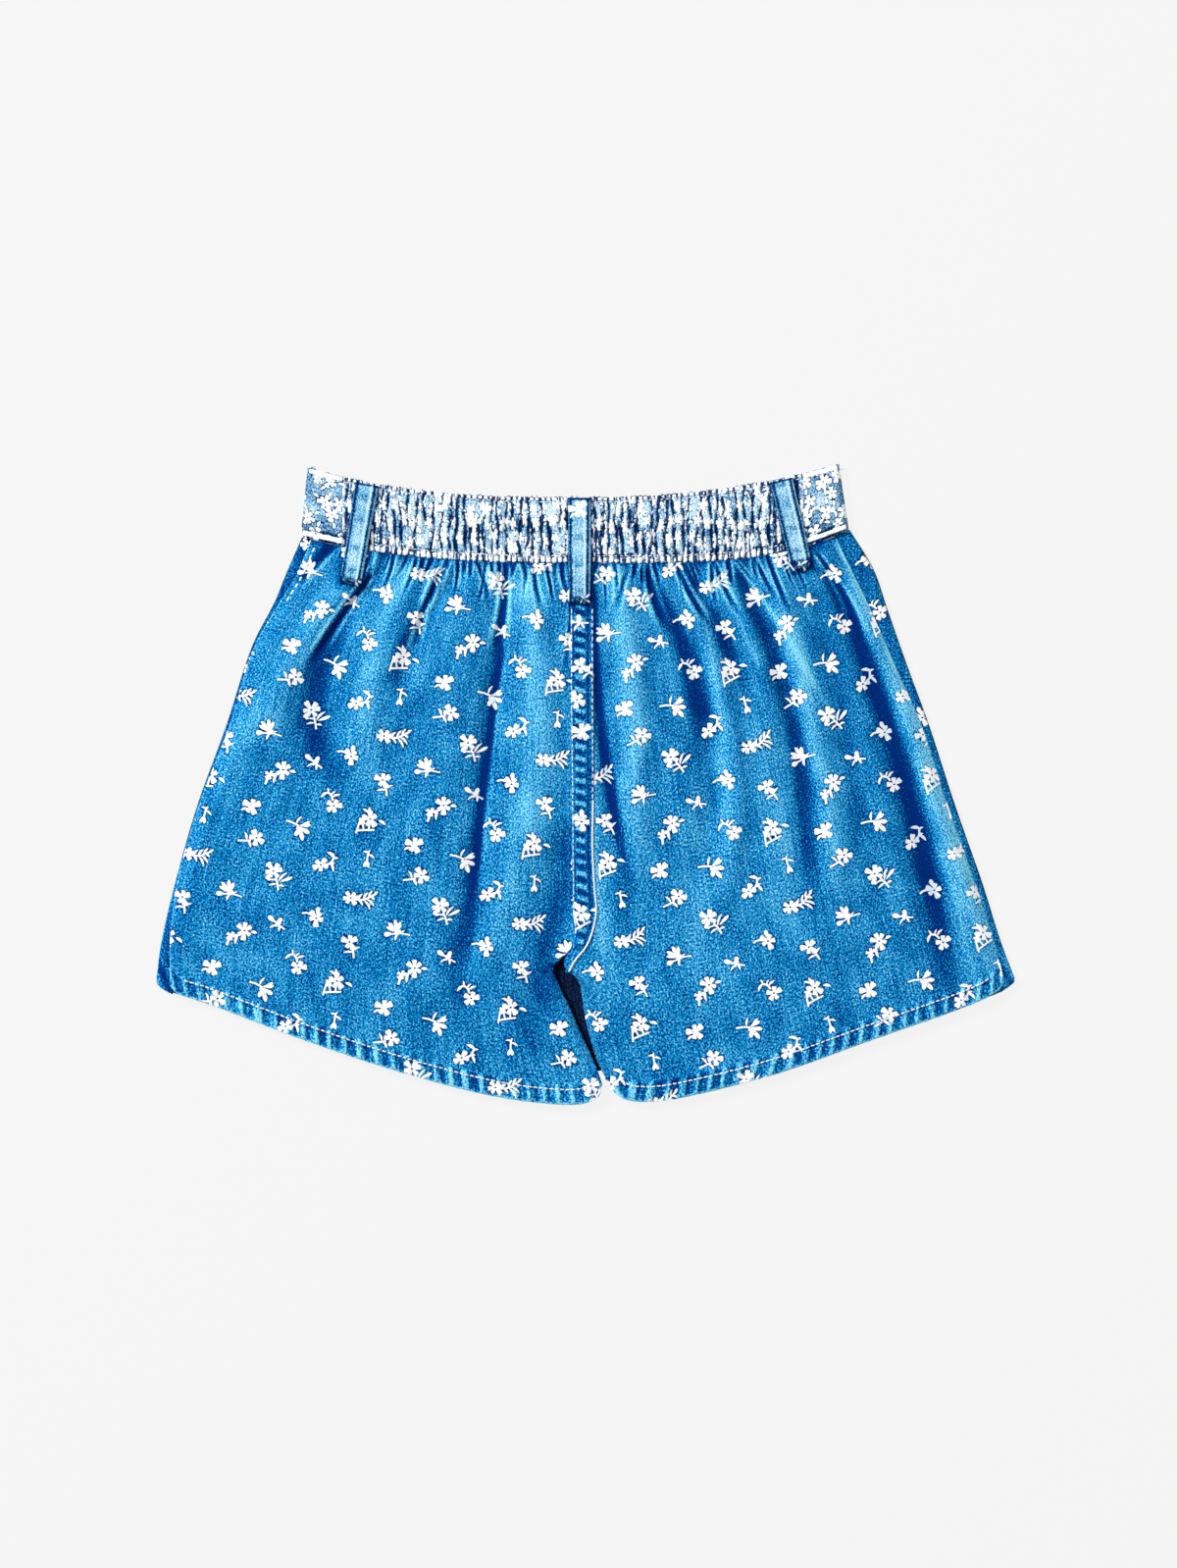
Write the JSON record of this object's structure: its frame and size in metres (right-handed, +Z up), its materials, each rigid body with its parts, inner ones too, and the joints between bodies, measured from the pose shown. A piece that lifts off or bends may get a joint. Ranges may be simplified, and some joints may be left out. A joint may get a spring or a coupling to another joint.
{
  "type": "skort",
  "caption": "Child's denim skort laid flat, back upwards: ribbed elastic waistband with belt loops, two gathered legs and a front skirt panel.",
  "frame": {"origin": "middle of the outline's box, on the surface that the garment lies on", "axes": "+X towards the garment's right as it lies with its back upwards, +Y towards the waist, +Z up from the surface"},
  "size_m": [0.437, 0.3259, 0.0101],
  "materials": {
    "printed_denim": "matt washed denim with a small white flower print",
    "denim_inside": "matt denim",
    "band_denim": "matt pale denim with a dense white flower print",
    "loop_denim": "matt plain denim"
  },
  "bodies": {
    "root": {"skirt_front": "denim_inside", "front_left": "denim_inside", "front_right": "denim_inside", "back_left": "printed_denim", "back_right": "printed_denim", "centre_back_seam": "printed_denim", "waistband_front": "band_denim", "waistband_back": "band_denim", "belt_loop_left": "loop_denim", "belt_loop_centre": "loop_denim", "belt_loop_right": "loop_denim"}
  },
  "joints": []
}
